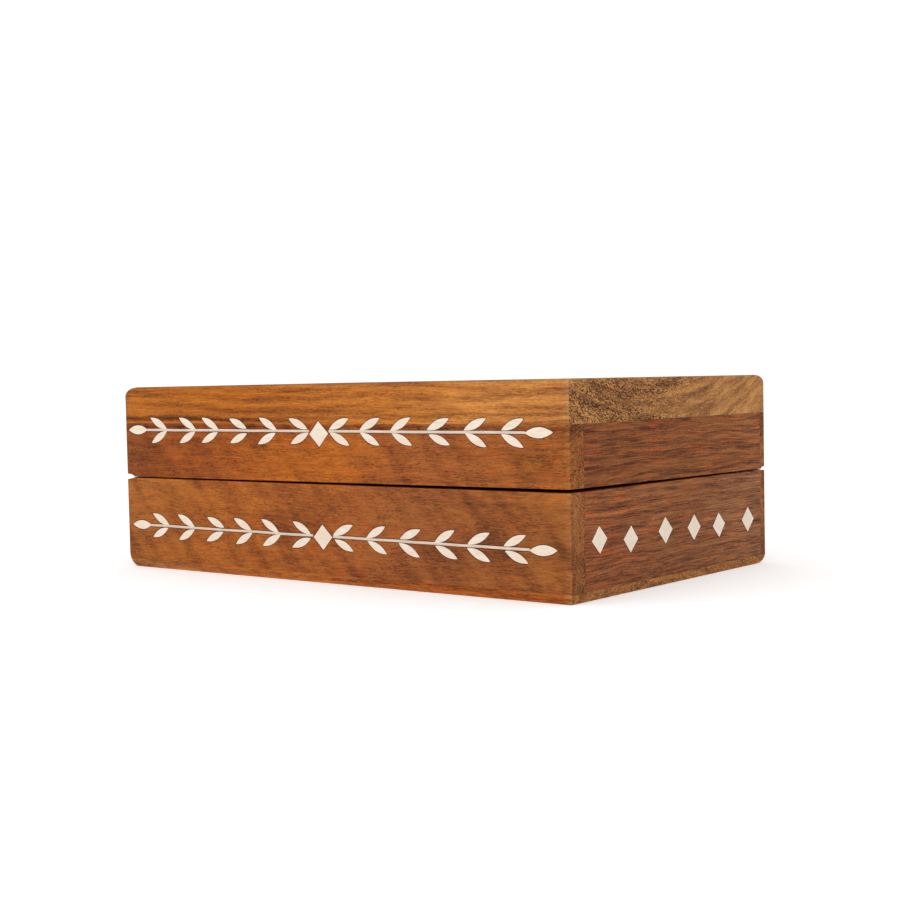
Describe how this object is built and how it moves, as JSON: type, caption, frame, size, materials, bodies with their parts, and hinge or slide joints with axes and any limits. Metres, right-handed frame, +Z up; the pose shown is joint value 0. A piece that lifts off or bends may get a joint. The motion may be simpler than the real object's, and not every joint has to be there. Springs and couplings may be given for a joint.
{
  "type": "keepsake box",
  "caption": "Rectangular hardwood keepsake box with pale leaf-vine and diamond inlay and a thick hinged lid.",
  "frame": {"origin": "centre of the underside", "axes": "+X along the front to the right as seen from the front, -Y out of the front, +Z up"},
  "size_m": [0.2286, 0.1431, 0.0762],
  "materials": {
    "front_and_back_wood": "satin",
    "side_wood": "satin",
    "top_board_wood": "satin",
    "bottom_board_wood": "satin",
    "bone": "polished bone",
    "bone_stems": "polished bone",
    "brass_leaf": "dull",
    "brass_screw": "dull",
    "steel_pin": "drawn"
  },
  "bodies": {
    "base": {"base_back_board": "front_and_back_wood", "base_bottom_board": "bottom_board_wood", "base_front_board": "front_and_back_wood", "base_left_board": "side_wood", "base_left_diamond_1": "bone", "base_left_diamond_2": "bone", "base_left_diamond_3": "bone", "base_left_diamond_4": "bone", "base_left_diamond_5": "bone", "base_left_diamond_6": "bone", "base_right_board": "side_wood", "base_right_diamond_1": "bone", "base_right_diamond_2": "bone", "base_right_diamond_3": "bone", "base_right_diamond_4": "bone", "base_right_diamond_5": "bone", "base_right_diamond_6": "bone", "base_vine_centre_diamond": "bone", "base_vine_left_bud": "bone", "base_vine_left_sprig": "bone_stems", "base_vine_right_bud": "bone", "base_vine_right_sprig": "bone_stems", "left_hinge_base_leaf": "brass_leaf", "left_hinge_base_left_screw": "brass_screw", "left_hinge_base_right_screw": "brass_screw", "left_hinge_pin": "steel_pin", "right_hinge_base_leaf": "brass_leaf", "right_hinge_base_left_screw": "brass_screw", "right_hinge_base_right_screw": "brass_screw", "right_hinge_pin": "steel_pin"},
    "lid": {"left_hinge_lid_leaf": "brass_leaf", "left_hinge_lid_left_screw": "brass_screw", "left_hinge_lid_right_screw": "brass_screw", "lid_back_rail": "front_and_back_wood", "lid_front_rail": "front_and_back_wood", "lid_left_rail": "side_wood", "lid_right_rail": "side_wood", "lid_top_board": "top_board_wood", "lid_vine_centre_diamond": "bone", "lid_vine_left_bud": "bone", "lid_vine_left_sprig": "bone_stems", "lid_vine_right_bud": "bone", "lid_vine_right_sprig": "bone_stems", "right_hinge_lid_leaf": "brass_leaf", "right_hinge_lid_left_screw": "brass_screw", "right_hinge_lid_right_screw": "brass_screw", "top_back_left_diamond": "bone", "top_back_right_diamond": "bone", "top_front_left_diamond": "bone", "top_front_right_diamond": "bone", "top_vine_centre_diamond": "bone", "top_vine_left_bud": "bone", "top_vine_left_sprig": "bone_stems", "top_vine_right_bud": "bone", "top_vine_right_sprig": "bone_stems"}
  },
  "joints": [
    {"name": "lid_hinge", "type": "hinge", "parent": "base", "child": "lid", "pos_m": [0, 0.07165, 0.0383], "axis": [-1, 0, 0], "range_deg": [0, 180]}
  ]
}
